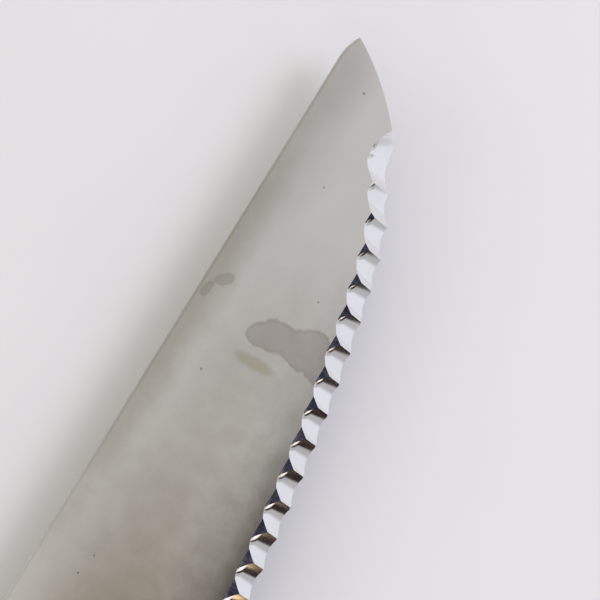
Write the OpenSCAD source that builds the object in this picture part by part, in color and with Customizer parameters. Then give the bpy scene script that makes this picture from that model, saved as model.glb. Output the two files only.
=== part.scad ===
// Serrated steak knife lying flat, with a full tang, two wooden scales and steel bolsters.
// Origin: centre of the footprint, on the surface it lies on. +X to the tip, +Y to the spine, +Z up.

/* [Overall] */
// Length from the butt to the tip
knife_len = 230; // [180:1:260]
// Length of the handle, bolsters included
handle_len = 112; // [90:1:130]

/* [Blade] */
// Thickness of the sheet that the blade and tang are cut from
blade_t = 1.2; // [0.8:0.1:2.5]
// Greatest width of the blade, at the lowest point of the edge
blade_w = 18.6; // [14:0.1:26]
// Radius of the long belly arc of the edge
belly_r = 211; // [120:1:400]
// Slope of the edge where the belly arc ends, in degrees
belly_end_slope = 14.2; // [5:0.1:25]
// Radius of the short arc that takes the edge up to the tip
tip_arc_r = 24.6; // [15:0.1:60]
// Radius of the nearly straight arc from the lowest point back to the heel
heel_arc_r = 420; // [200:5:900]
// How far the spine drops to the tip
spine_drop = 0.54; // [0.1:0.01:2]
// Length over which the spine drops to the tip
spine_drop_len = 2.3; // [1:0.1:6]
// Width of the rounding at the very tip
tip_round = 0.15; // [0.1:0.05:1]
// Width of the eased corner along the spine
spine_ease = 0.3; // [0.1:0.05:0.6]

/* [Serrations] */
// Distance between tooth tips, along the edge
pitch = 2.82; // [1.5:0.01:5]
// Radius of each ground flute
flute_r = 3.64; // [2:0.01:8]
// Slope of the flutes against the flat face, in degrees
flute_tilt = 35; // [25:0.5:50]
// How far the flutes turn towards the tip on their way out, in degrees
flute_skew = -5; // [-20:0.5:20]
// Slope of the small lands behind the teeth, in degrees
land_tilt = 20; // [15:0.5:34]
// How far the lands run past the inner ends of the flutes
land_over = 0.02; // [0.01:0.01:0.2]
// Number of flutes
flute_count = 36; // [10:1:45]
// Edge length from the tip to the start of the first flute
flute_start = 8.65; // [5:0.1:40]
// Thickness left at each tooth tip
tooth_tip_t = 0.08; // [0.02:0.01:0.3]
// How far the first teeth lie inside the edge line
lead_lifts = [0.65, 0.55, 0.28, 0.1];

/* [Handle] */
// Thickness of each scale and bolster half
scale_t = 6; // [4:0.1:8]
// Depth of the handle at its front end
front_depth = 15.2; // [12:0.1:20]
// Depth at the waist behind the bolsters
waist_depth = 14.4; // [11:0.1:20]
// Depth at the palm swell
palm_depth = 19; // [14:0.1:26]
// Depth at the rear waist
rear_waist_depth = 17.4; // [13:0.1:24]
// Depth at the hook of the butt
hook_depth = 22.5; // [16:0.1:30]
// Where the waist, palm, rear waist and hook lie, as shares of the handle length
belly_shares = [0, 0.17, 0.48, 0.72, 0.92];
// How far the top line dips in the middle
top_dip = 0.9; // [0:0.1:3]
// How far the top line drops at the butt
butt_drop = 1.6; // [0:0.1:5]
// Where the top line dips and where it is level again, as shares of the handle length
top_shares = [0, 0.42, 0.74, 0.95];
// Length of the rounded butt end
butt_round_len = 9; // [4:0.5:15]
// Squareness of the butt end, where 2 is an ellipse
butt_power = 2.6; // [2:0.1:5]
// Width of the rounding along the outer edges
edge_round_w = 3.1; // [1:0.1:5]
// Height of the rounding along the outer edges
edge_round_h = 3.6; // [1:0.1:5]

/* [Bolsters] */
// Length of the bolsters
bolster_len = 16; // [10:0.5:25]
// Thickness of a bolster half at its front edge
nose_t = 1.4; // [0.8:0.1:3]
// Radius of the hollow sweep at the front of the bolsters
sweep_r = 7; // [5:0.1:15]
// Radius of the bolster pins
pin_r = 1.25; // [0.8:0.05:2]
// Distance of the front pin from the front of the handle
pin_front_dist = 8.8; // [7:0.1:12]
// Distance between the two pins
pin_spacing = 4.4; // [3:0.1:8]

/* [Rivets] */
// Radius of the rivet heads
head_r = 3.5; // [2:0.1:5]
// Thickness of the rivet heads
head_t = 2; // [1:0.1:3]
// Outer radius of the rivet tube
tube_r = 2.25; // [1.5:0.05:3.5]
// Bore radius of the rivet tube
tube_bore_r = 1.5; // [0.8:0.05:2.5]
// Floor left under the rivet bore
bore_floor = 1.2; // [0.5:0.1:2]
// How far the rivet tube reaches into the upper scale
tube_reach = 1.5; // [0.5:0.1:3]
// Gap left between the end of the rivet shank and the floor of the bore
shank_end_gap = 1.5; // [0.5:0.1:4]
// Where the rivets lie, as shares of the handle length
rivet_shares = [0.26, 0.54, 0.83];

/* [Fits] */
// Radial gap between a rivet shank and the rivet tube
press_gap = 0.02; // [0.01:0.01:0.1]
// Radial gap around pins and rivets in their holes
hole_gap = 0.05; // [0.02:0.01:0.2]
// Overrun of cuts past a face
overrun = 1; // [0.5:0.1:5]

/* [Hidden] */
curve_fn = 96;
edge_steps = 72;
line_steps = 22;
butt_steps = 9;
round_steps = 5;
drop_steps = 6;
tip_steps = 4;
full_turn = 360;
right_angle = 90;
half_turn = 180;

tip_x = knife_len / 2;
butt_x = -knife_len / 2;
heel_x = butt_x + handle_len;
bolster_rear_x = heel_x - bolster_len;
spine_y = hook_depth / 2;
tang_z = scale_t;
total_t = 2 * scale_t + blade_t;

steel = [0.62, 0.61, 0.6];
bright = [0.74, 0.74, 0.75];
wood = [0.3, 0.17, 0.1];

// Edge line by arc length u from the lowest point: towards the tip u grows, towards the heel it is negative
belly_len = belly_r * belly_end_slope * PI / half_turn;
belly_end = [belly_r * sin(belly_end_slope), belly_r * (1 - cos(belly_end_slope)) - blade_w];
tip_slope = acos(cos(belly_end_slope) + (belly_end[1] + spine_drop + tip_round) / tip_arc_r);
tip_arc_end_x = belly_end[0] + tip_arc_r * (sin(tip_slope) - sin(belly_end_slope));
low_x = tip_x - tip_arc_end_x;
edge_end_u = belly_len + tip_arc_r * (tip_slope - belly_end_slope) * PI / half_turn;
edge_heel_u = -heel_arc_r * asin((low_x - heel_x) / heel_arc_r) * PI / half_turn;

function degrees_of(len, r) = len / r * half_turn / PI;
function slope_at(u) =
    u < 0 ? degrees_of(u, heel_arc_r) :
    u < belly_len ? degrees_of(u, belly_r) :
    belly_end_slope + degrees_of(u - belly_len, tip_arc_r);
function arc_point(r, a) = [low_x + r * sin(a), spine_y - blade_w + r * (1 - cos(a))];
function tip_point(a) = [
    low_x + belly_end[0] + tip_arc_r * (sin(a) - sin(belly_end_slope)),
    spine_y + belly_end[1] + tip_arc_r * (cos(belly_end_slope) - cos(a))
];
function edge_point(u) =
    u < 0 ? arc_point(heel_arc_r, slope_at(u)) :
    u < belly_len ? arc_point(belly_r, slope_at(u)) :
    tip_point(slope_at(u));

edge_line = [
    for (i = [0:edge_steps]) edge_point(edge_heel_u + (edge_end_u - edge_heel_u) * i / edge_steps)
];

// Rounding of the very tip, from the end of the edge line to the spine's drop
tip_end = edge_line[edge_steps];
drop_end = [tip_x - tip_round, spine_y - spine_drop];
tip_corner = [tip_x, spine_y - spine_drop - tip_round / 2];
tip_line = [
    for (i = [1:tip_steps - 1])
        let (t = i / tip_steps)
        (1 - t) * (1 - t) * tip_end + 2 * t * (1 - t) * tip_corner + t * t * drop_end
];

// Spine from the tip back: a short arc, then straight to the handle
drop_r = (pow(spine_drop_len, 2) + pow(spine_drop, 2)) / (2 * spine_drop);
drop_angle = asin(spine_drop_len / drop_r);
drop_line = [
    for (i = [0:drop_steps])
        let (a = drop_angle * (1 - i / drop_steps))
        [tip_x - tip_round - spine_drop_len + drop_r * sin(a), spine_y - drop_r * (1 - cos(a))]
];

// Handle outline: level at every named station, with a smooth wave between two stations
function wave(a, b, t) = a + (b - a) * (1 - cos(half_turn * t)) / 2;
function station(s, shares, i = 0) =
    i + 2 >= len(shares) || s <= shares[i + 1] ? i : station(s, shares, i + 1);
function depth_at(s, shares, depths) =
    let (i = station(s, shares))
    wave(depths[i], depths[i + 1], min(1, (s - shares[i]) / (shares[i + 1] - shares[i])));

top_depths = [0, top_dip, top_dip / 2, butt_drop];
belly_depths = [front_depth, waist_depth, palm_depth, rear_waist_depth, hook_depth];
round_start_s = 1 - butt_round_len / handle_len;

function top_y(s) = spine_y - depth_at(s, top_shares, top_depths);
function belly_y(s) = spine_y - depth_at(s, belly_shares, belly_depths);
function handle_x(s) = heel_x - handle_len * s;
function butt_point(s, side, a) =
    let (
        middle = (top_y(s) + belly_y(s)) / 2,
        half = (top_y(s) - belly_y(s)) / 2
    )
    [handle_x(s), middle + side * half * pow(cos(a), 2 / butt_power)];
function butt_share(a) = round_start_s + (1 - round_start_s) * pow(sin(a), 2 / butt_power);

top_line = [for (i = [0:line_steps]) [handle_x(round_start_s * i / line_steps), top_y(round_start_s * i / line_steps)]];
butt_line = [
    for (i = [1:2 * butt_steps - 1])
        let (a = right_angle * (i <= butt_steps ? i : 2 * butt_steps - i) / butt_steps)
        butt_point(butt_share(a), i <= butt_steps ? 1 : -1, a)
];
belly_line = [
    for (i = [line_steps:-1:0])
        [handle_x(round_start_s * i / line_steps), belly_y(round_start_s * i / line_steps)]
];
handle_line = concat(top_line, butt_line, belly_line);
line_count = len(handle_line);

// Inset point i of the handle outline by d, square to the outline
function inset_point(i, d) =
    let (
        a = handle_line[max(i - 1, 0)],
        b = handle_line[min(i + 1, line_count - 1)],
        run = b - a
    )
    handle_line[i] + d * [-run[1], run[0]] / norm(run);
ring_levels = concat(
    [[0, 0]],
    [
        for (i = [0:round_steps])
            let (a = right_angle * i / round_steps)
            [edge_round_w * (1 - cos(a)), scale_t - edge_round_h * (1 - sin(a))]
    ]
);
ring_count = len(ring_levels);
form_points = [
    for (level = ring_levels)
        for (i = [0:line_count - 1])
            let (p = inset_point(i, level[0]))
            [i == 0 || i == line_count - 1 ? heel_x : p[0], p[1], level[1]]
];
half_count = (line_count - 1) / 2;
top_ring = (ring_count - 1) * line_count;
butt_face = [half_count - 1, half_count, half_count + 1];
cap_faces = concat(
    [for (i = [0:half_count - 2]) [i, i + 1, line_count - 2 - i, line_count - 1 - i]],
    [butt_face]
);
form_faces = concat(
    cap_faces,
    [for (face = cap_faces) [for (i = [len(face) - 1:-1:0]) top_ring + face[i]]],
    [
        for (j = [0:ring_count - 2])
            for (i = [0:line_count - 1])
                for (side = [0, 1])
                    let (
                        a = j * line_count + i,
                        b = j * line_count + (i + 1) % line_count
                    )
                    side == 0 ? [a, a + line_count, b + line_count] : [a, b + line_count, b]
    ]
);

// Teeth: [x, y, z above the blade's lower face], where the first is the start of the run of flutes
function tooth_lift(i) = i > 0 && i <= len(lead_lifts) ? lead_lifts[i - 1] : 0;
teeth = [
    for (i = [0:flute_count])
        let (p = edge_point(edge_end_u - flute_start - i * pitch))
        [p[0], p[1] + tooth_lift(i), tooth_tip_t + (i == 0 ? blade_t : 0)]
];

// In the plane square to the flutes, x along the flute row and y square to the flute floor:
// each flute is the circle that runs through two neighbouring teeth
function along_row(p) = p[0] * cos(flute_skew) + p[1] * sin(flute_skew);
function across_row(p) = p[1] * cos(flute_skew) - p[0] * sin(flute_skew);
function tooth_spot(p) = [along_row(p), p[2] * cos(flute_tilt) - across_row(p) * sin(flute_tilt)];
function flute_centre(i) =
    let (
        a = tooth_spot(teeth[i]),
        b = tooth_spot(teeth[i + 1]),
        run = a - b
    )
    (a + b) / 2 + sqrt(pow(flute_r, 2) - pow(norm(run) / 2, 2)) * [-run[1], run[0]] / norm(run);
flute_centres = [for (i = [0:flute_count - 1]) flute_centre(i)];
cut_len = 2 * knife_len;

// Place on the flat face where each flute reaches farthest in
flute_ends = [
    for (centre = flute_centres)
        let (in = (blade_t * cos(flute_tilt) - centre[1] + flute_r) / sin(flute_tilt))
        [
            centre[0] * cos(flute_skew) - in * sin(flute_skew),
            centre[0] * sin(flute_skew) + in * cos(flute_skew)
        ]
];

// Height, square to the lands, of a land whose inner border is at y
function land_height(y) = blade_t * cos(land_tilt) - y * sin(land_tilt);
last_end = flute_ends[flute_count - 1];
land_roof = land_height(last_end[1]) + blade_w;
land_profile = concat(
    [
        for (i = [1:flute_count - 1])
            let (ahead = flute_ends[i - 1], behind = flute_ends[i])
            for (side = [ahead, behind])
                [side[0], land_height(min(ahead[1], behind[1]) + land_over)]
    ],
    [[last_end[0], land_roof], [flute_ends[0][0], land_roof]]
);

// Turns a drawing square to a slope into cuts that run down that slope towards the edge
module along_slope(tilt) {
    translate([0, 0, tang_z])
        rotate([right_angle + tilt, 0, 0])
            translate([0, 0, -cut_len])
                linear_extrude(height = 2 * cut_len)
                    children();
}

// All flutes as one cut
module flute_cut() {
    rotate([0, 0, flute_skew])
        along_slope(flute_tilt)
            for (centre = flute_centres)
                translate(centre)
                    circle(r = flute_r, $fn = curve_fn);
}

// The lands behind the teeth as one cut
module land_cut() {
    along_slope(land_tilt)
        polygon(land_profile);
}

// Where a pin or rivet lies: middle of the handle at share s
function mid_y(s) = (top_y(s) + belly_y(s)) / 2;
function share_of(dist) = dist / handle_len;

// Places children on the handle's middle line at share s
module at_share(s) {
    translate([handle_x(s), mid_y(s), 0])
        children();
}

pin_shares = [share_of(pin_front_dist), share_of(pin_front_dist + pin_spacing)];

// Straight through holes for the bolster pins
module pin_holes() {
    for (s = pin_shares)
        at_share(s)
            translate([0, 0, -overrun])
                cylinder(r = pin_r + hole_gap, h = total_t + 2 * overrun, $fn = curve_fn);
}

// Straight through holes for the rivets
module rivet_holes() {
    for (s = rivet_shares)
        at_share(s)
            translate([0, 0, -overrun])
                cylinder(r = tube_r + hole_gap, h = total_t + 2 * overrun, $fn = curve_fn);
}

// Blade and full tang, cut from one sheet, with flutes ground into the upper face
module blade() {
    color(steel)
        difference() {
            translate([0, 0, tang_z])
                linear_extrude(height = blade_t)
                    polygon(concat(handle_line, edge_line, tip_line, drop_line));
            flute_cut();
            land_cut();
            translate([heel_x, spine_y, tang_z + blade_t])
                rotate([right_angle / 2, 0, 0])
                    translate([0, -spine_ease, -spine_ease / sqrt(2)])
                        cube([knife_len, 2 * spine_ease, 2 * spine_ease]);
            pin_holes();
            rivet_holes();
        }
}

// One half of the handle's outer form, from the tang face outwards
module handle_form() {
    polyhedron(points = form_points, faces = form_faces);
}

// Upper bolster half, hollow swept at the front
module bolster_solid() {
    difference() {
        intersection() {
            handle_form();
            translate([bolster_rear_x, -hook_depth, -overrun])
                cube([2 * bolster_len, 2 * hook_depth, scale_t + 2 * overrun]);
        }
        translate([heel_x, -hook_depth, nose_t + sweep_r])
            rotate([-right_angle, 0, 0])
                cylinder(r = sweep_r, h = 2 * hook_depth, $fn = curve_fn);
    }
}

// Upper scale without holes
module scale_solid() {
    difference() {
        handle_form();
        translate([bolster_rear_x, -hook_depth, -overrun])
            cube([2 * bolster_len, 2 * hook_depth, scale_t + 2 * overrun]);
    }
}

// Seats for the rivet heads, sunk from height z
module head_seats(z) {
    for (s = rivet_shares)
        at_share(s)
            translate([0, 0, z])
                cylinder(r = head_r + hole_gap, h = head_t + overrun, $fn = curve_fn);
}

// Upper bolster half
module bolster_upper() {
    color(bright)
        difference() {
            translate([0, 0, tang_z + blade_t])
                bolster_solid();
            pin_holes();
        }
}

// Lower bolster half
module bolster_lower() {
    color(bright)
        difference() {
            translate([0, 0, tang_z])
                mirror([0, 0, 1])
                    bolster_solid();
            pin_holes();
        }
}

// Upper scale
module scale_upper() {
    color(wood)
        difference() {
            translate([0, 0, tang_z + blade_t])
                scale_solid();
            rivet_holes();
            head_seats(total_t - head_t);
        }
}

// Lower scale
module scale_lower() {
    color(wood)
        difference() {
            translate([0, 0, tang_z])
                mirror([0, 0, 1])
                    scale_solid();
            rivet_holes();
            head_seats(-overrun);
        }
}

// Pin through both bolster halves, flush at both ends
module bolster_pin(s) {
    color(bright)
        at_share(s)
            cylinder(r = pin_r, h = total_t, $fn = curve_fn);
}

// Upper half of a rivet: head and solid shank
module rivet_male(s) {
    color(bright)
        at_share(s) {
            translate([0, 0, total_t - head_t])
                cylinder(r = head_r, h = head_t, $fn = curve_fn);
            translate([0, 0, bore_floor + shank_end_gap])
                cylinder(
                    r = tube_bore_r - press_gap,
                    h = total_t - head_t / 2 - bore_floor - shank_end_gap,
                    $fn = curve_fn
                );
        }
}

// Lower half of a rivet: head and tube
module rivet_female(s) {
    color(bright)
        at_share(s)
            difference() {
                union() {
                    cylinder(r = head_r, h = head_t, $fn = curve_fn);
                    translate([0, 0, head_t / 2])
                        cylinder(r = tube_r, h = tang_z + blade_t + tube_reach - head_t / 2, $fn = curve_fn);
                }
                translate([0, 0, bore_floor])
                    cylinder(r = tube_bore_r, h = total_t, $fn = curve_fn);
            }
}

blade();
bolster_upper();
bolster_lower();
bolster_pin(pin_shares[0]);  // bolster_pin_front
bolster_pin(pin_shares[1]);  // bolster_pin_rear
scale_upper();
scale_lower();
rivet_male(rivet_shares[0]);  // rivet_front_male
rivet_female(rivet_shares[0]);  // rivet_front_female
rivet_male(rivet_shares[1]);  // rivet_middle_male
rivet_female(rivet_shares[1]);  // rivet_middle_female
rivet_male(rivet_shares[2]);  // rivet_rear_male
rivet_female(rivet_shares[2]);  // rivet_rear_female
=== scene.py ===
"""Serrated steak knife: finished blade, bolsters, wooden scales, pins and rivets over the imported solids.

Sizes are in millimetres and become metres where meshes are made. The frame is the solids' own:
+X to the tip, +Y to the spine, +Z up from the surface that the knife lies on.
"""

from __future__ import annotations

import logging
import math
from dataclasses import dataclass, field
from enum import Enum

import bmesh
import bpy
from mathutils import Matrix, Vector


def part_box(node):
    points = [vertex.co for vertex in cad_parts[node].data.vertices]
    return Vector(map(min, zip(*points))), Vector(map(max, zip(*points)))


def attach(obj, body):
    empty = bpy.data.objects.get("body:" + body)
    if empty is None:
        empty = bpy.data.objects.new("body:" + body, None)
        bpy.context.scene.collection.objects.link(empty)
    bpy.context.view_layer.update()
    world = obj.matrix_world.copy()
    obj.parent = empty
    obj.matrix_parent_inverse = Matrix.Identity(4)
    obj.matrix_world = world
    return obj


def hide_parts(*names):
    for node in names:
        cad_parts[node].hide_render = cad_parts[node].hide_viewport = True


MM = 0.001
BODY = "root"
LOG = logging.getLogger("steak_knife")
# Half the length of the cutters for holes right through the knife
HOLE_REACH = 25.0

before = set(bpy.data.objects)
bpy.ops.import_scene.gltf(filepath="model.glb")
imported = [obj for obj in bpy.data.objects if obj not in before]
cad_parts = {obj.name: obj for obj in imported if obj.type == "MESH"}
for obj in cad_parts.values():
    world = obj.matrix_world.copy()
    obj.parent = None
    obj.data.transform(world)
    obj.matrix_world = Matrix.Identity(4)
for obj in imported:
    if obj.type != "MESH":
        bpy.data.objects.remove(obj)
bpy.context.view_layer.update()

Point2 = tuple[float, float]
Point3 = tuple[float, float, float]
Span = tuple[float, float]
Socket = bpy.types.NodeSocket


class Slot(Enum):
    """Material slots of the record."""

    BLADE = "blade_steel"
    BOLSTER = "bolster_steel"
    RIVET = "rivet_steel"
    WOOD = "handle_wood"


class Side(Enum):
    """Side of the tang that a handle piece lies on."""

    UPPER = 1
    LOWER = -1


def node_box(node: str) -> tuple[Vector, Vector]:
    """Gives a solid's lowest and highest corner in millimetres."""
    low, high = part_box(node)
    return Vector(low) / MM, Vector(high) / MM


def smooth_wave(start: float, end: float, share: float) -> float:
    """Eases from start to end along half a cosine wave."""
    return start + (end - start) * (1 - math.cos(math.pi * share)) / 2


def heading(start: Point2, end: Point2) -> Vector:
    """Gives the direction from one point to another."""
    return Vector((end[0] - start[0], end[1] - start[1])).normalized()


# Outlines


@dataclass(frozen=True)
class EdgeLine:
    """Line of the tooth tips, by arc length from its lowest point, towards the tip."""

    low_x: float
    spine_y: float
    blade_w: float = 18.6
    belly_r: float = 211.0
    belly_end_slope: float = math.radians(14.2)
    tip_arc_r: float = 24.6
    heel_arc_r: float = 420.0
    tip_depth: float = 0.69

    @property
    def belly_len(self) -> float:
        """Length of the belly arc."""
        return self.belly_r * self.belly_end_slope

    @property
    def belly_end(self) -> Point2:
        """Place where the belly arc ends, from the lowest point and the spine."""
        rise = self.belly_r * (1 - math.cos(self.belly_end_slope))
        return self.belly_r * math.sin(self.belly_end_slope), rise - self.blade_w

    @property
    def tip_slope(self) -> float:
        """Slope of the edge at the tip."""
        rise = (self.belly_end[1] + self.tip_depth) / self.tip_arc_r
        return math.acos(math.cos(self.belly_end_slope) + rise)

    @property
    def reach(self) -> float:
        """Distance along X from the lowest point to the tip."""
        turn = math.sin(self.tip_slope) - math.sin(self.belly_end_slope)
        return self.belly_end[0] + self.tip_arc_r * turn

    @property
    def end_u(self) -> float:
        """Arc length at the tip."""
        return self.belly_len + self.tip_arc_r * (self.tip_slope - self.belly_end_slope)

    def slope(self, u: float) -> float:
        """Gives the slope of the line.

        Args:
            u: Arc length from the lowest point, towards the tip.

        Returns:
            The slope there, in radians.
        """
        if u < self.belly_len:
            return u / (self.heel_arc_r if u < 0 else self.belly_r)
        return self.belly_end_slope + (u - self.belly_len) / self.tip_arc_r

    def heel_u(self, heel_x: float) -> float:
        """Arc length at the heel, below zero."""
        return -self.heel_arc_r * math.asin((self.low_x - heel_x) / self.heel_arc_r)

    def point(self, u: float) -> Point2:
        """Gives a point of the line.

        Args:
            u: Arc length from the lowest point, towards the tip.

        Returns:
            Its x and y.
        """
        slope = self.slope(u)
        if u < self.belly_len:
            radius = self.heel_arc_r if u < 0 else self.belly_r
            return (
                self.low_x + radius * math.sin(slope),
                self.spine_y - self.blade_w + radius * (1 - math.cos(slope)),
            )
        end_x, end_y = self.belly_end
        across = math.sin(slope) - math.sin(self.belly_end_slope)
        rise = math.cos(self.belly_end_slope) - math.cos(slope)
        return self.low_x + end_x + self.tip_arc_r * across, self.spine_y + end_y + self.tip_arc_r * rise

    def line(self, start_u: float, end_u: float, steps: int) -> list[Point2]:
        """Gives evenly spaced points from one arc length to another."""
        return [self.point(start_u + (end_u - start_u) * i / steps) for i in range(steps + 1)]


@dataclass(frozen=True)
class HandleLine:
    """Outline of the tang, bolsters and scales, from the heel round the butt and back.

    The belly and the top are half waves between turning points. Each turning point has its
    share of the handle's length and its depth below the spine.
    """

    heel_x: float
    handle_len: float
    spine_y: float
    belly_shares: tuple[float, ...] = (0.0, 0.17, 0.48, 0.72, 0.92)
    belly_depths: tuple[float, ...] = (15.2, 14.4, 19.0, 17.4, 22.5)
    top_shares: tuple[float, ...] = (0.0, 0.42, 0.74, 0.95)
    top_depths: tuple[float, ...] = (0.0, 0.9, 0.45, 1.6)
    pin_distances: tuple[float, ...] = (8.8, 13.2)
    rivet_shares: tuple[float, ...] = (0.26, 0.54, 0.83)
    butt_round_len: float = 9.0
    butt_power: float = 2.6
    line_steps: int = 88
    butt_steps: int = 26

    @staticmethod
    def _depth(share: float, shares: tuple[float, ...], depths: tuple[float, ...]) -> float:
        """Gives the depth of the top or belly line below the spine.

        Args:
            share: Place along the handle, as a share of its length.
            shares: Places of the line's turning points.
            depths: Depths of the line's turning points.

        Returns:
            The depth, on half a wave between two turning points.
        """
        last = len(shares) - 2
        i = next((k for k in range(last) if share <= shares[k + 1]), last)
        part = min(1.0, (share - shares[i]) / (shares[i + 1] - shares[i]))
        return smooth_wave(depths[i], depths[i + 1], part)

    def top_y(self, share: float) -> float:
        """Height of the top line."""
        return self.spine_y - self._depth(share, self.top_shares, self.top_depths)

    def belly_y(self, share: float) -> float:
        """Height of the belly line."""
        return self.spine_y - self._depth(share, self.belly_shares, self.belly_depths)

    def x(self, share: float) -> float:
        """Place along the knife."""
        return self.heel_x - self.handle_len * share

    def middle(self, share: float) -> Point2:
        """Point half way between the top and belly lines."""
        return self.x(share), (self.top_y(share) + self.belly_y(share)) / 2

    def pin_spots(self) -> list[Point2]:
        """Places of the bolster pins."""
        return [self.middle(distance / self.handle_len) for distance in self.pin_distances]

    def rivet_spots(self) -> list[Point2]:
        """Places of the rivets."""
        return [self.middle(share) for share in self.rivet_shares]

    def points(self) -> list[Point2]:
        """Gives the outline's points.

        Returns:
            Points from the heel's top corner round the butt to its bottom corner.
        """
        start = 1 - self.butt_round_len / self.handle_len
        shares = [start * i / self.line_steps for i in range(self.line_steps + 1)]
        top = [(self.x(s), self.top_y(s)) for s in shares]
        belly = [(self.x(s), self.belly_y(s)) for s in reversed(shares)]
        butt: list[Point2] = []
        for i in range(1, 2 * self.butt_steps):
            side = 1 if i <= self.butt_steps else -1
            angle = math.pi / 2 * (i if side > 0 else 2 * self.butt_steps - i) / self.butt_steps
            s = start + (1 - start) * math.sin(angle) ** (2 / self.butt_power)
            half = (self.top_y(s) - self.belly_y(s)) / 2
            lift = side * half * max(0.0, math.cos(angle)) ** (2 / self.butt_power)
            butt.append((self.x(s), self.middle(s)[1] + lift))
        return top + butt + belly


# Meshes


def new_object(name: str, mesh: bpy.types.Mesh) -> bpy.types.Object:
    """Makes an object and links it to the scene.

    Args:
        name: Name of the object.
        mesh: Its mesh.

    Returns:
        The object.
    """
    obj = bpy.data.objects.new(name, mesh)
    bpy.context.scene.collection.objects.link(obj)
    return obj


def mesh_of(name: str, verts: list[Point3], faces: list[list[int]]) -> bpy.types.Mesh:
    """Makes a mesh from points in millimetres.

    Args:
        name: Name of the mesh.
        verts: Points in millimetres.
        faces: Corner numbers of each face.

    Returns:
        The mesh, in metres, with its faces pointing outwards.
    """
    mesh = bpy.data.meshes.new(name)
    mesh.from_pydata([tuple(c * MM for c in v) for v in verts], [], faces)
    work = bmesh.new()
    work.from_mesh(mesh)
    bmesh.ops.recalc_face_normals(work, faces=work.faces)
    work.to_mesh(mesh)
    work.free()
    return mesh


def stack_of_rings(name: str, rings: list[list[Point3]]) -> bpy.types.Mesh:
    """Joins rings into a closed form with a flat cap at each end.

    Args:
        name: Name of the mesh.
        rings: Rings with the same number of points each.

    Returns:
        The form's mesh.
    """
    count = len(rings[0])
    verts = [point for ring in rings for point in ring]
    faces = [list(range(count)), [(len(rings) - 1) * count + i for i in range(count)]]
    for j in range(len(rings) - 1):
        for i in range(count):
            k = (i + 1) % count
            faces.append([j * count + i, j * count + k, (j + 1) * count + k, (j + 1) * count + i])
    return mesh_of(name, verts, faces)


def box_cutter(low: Point3, high: Point3) -> bpy.types.Object:
    """Makes a plain box as a cutter.

    Args:
        low: Its lowest corner.
        high: Its highest corner.

    Returns:
        The cutter.
    """
    rings = [
        [(low[0], low[1], z), (high[0], low[1], z), (high[0], high[1], z), (low[0], high[1], z)]
        for z in (low[2], high[2])
    ]
    return new_object("box_cutter", stack_of_rings("box_cutter", rings))


def bar_cutter(start: Point3, axis: Point3, radius: float, length: float, sides: int) -> bpy.types.Object:
    """Makes a round bar as a cutter.

    Args:
        start: Middle of one end.
        axis: Direction of the bar.
        radius: Its radius.
        length: Its length.
        sides: Number of sides.

    Returns:
        The cutter.
    """
    along = Vector(axis).normalized()
    across = along.orthogonal().normalized()
    third = along.cross(across)
    rings = []
    for step in (0.0, length):
        ring = []
        for i in range(sides):
            angle = 2 * math.pi * i / sides
            arm = radius * (across * math.cos(angle) + third * math.sin(angle))
            ring.append(tuple(Vector(start) + along * step + arm))
        rings.append(ring)
    return new_object("bar_cutter", stack_of_rings("bar_cutter", rings))


def hole_cutters(spots: list[Point2], radius: float, sides: int) -> list[bpy.types.Object]:
    """Makes a cutter for an upright hole right through the knife at every spot."""
    return [bar_cutter((x, y, -HOLE_REACH), (0, 0, 1), radius, 2 * HOLE_REACH, sides) for x, y in spots]


def bake_modifiers(piece: bpy.types.Object) -> None:
    """Replaces a piece's mesh by its evaluated one.

    Args:
        piece: The piece, whose modifiers are cleared.
    """
    bpy.context.view_layer.update()
    graph = bpy.context.evaluated_depsgraph_get()
    made = bpy.data.meshes.new_from_object(piece.evaluated_get(graph), depsgraph=graph)
    piece.modifiers.clear()
    piece.data = made


def cut_away(
    piece: bpy.types.Object, cutters: list[bpy.types.Object], row: bpy.types.Object | None = None
) -> None:
    """Cuts a piece with cutters, then removes them.

    Args:
        piece: Object whose mesh is changed.
        cutters: Objects that cut it.
        row: A last cutter, of forms that run into each other.
    """
    cutters = cutters if row is None else [*cutters, row]
    for cutter in cutters:
        step = piece.modifiers.new("cut", "BOOLEAN")
        step.operation = "DIFFERENCE"
        step.solver = "EXACT"
        step.use_self = cutter is row
        step.material_mode = "TRANSFER"
        step.object = cutter
    bake_modifiers(piece)
    for cutter in cutters:
        bpy.data.objects.remove(cutter)


def crisp(piece: bpy.types.Object, degrees: float) -> None:
    """Shades a piece smooth, with edges over an angle left sharp."""
    piece.data.polygons.foreach_set("use_smooth", [True] * len(piece.data.polygons))
    piece.data.set_sharp_from_angle(angle=math.radians(degrees))


def finish_piece(piece: bpy.types.Object, slot: Slot, *nodes: str) -> None:
    """Ties a finished piece to the frame.

    Args:
        piece: The finished piece.
        slot: Material slot of the record; not used.
        nodes: Solids that it stands for.
    """
    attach(piece, BODY)
    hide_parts(*nodes)
    LOG.info("%s: %d faces, stands for %s", piece.name, len(piece.data.polygons), ", ".join(nodes))


# Node trees


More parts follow.
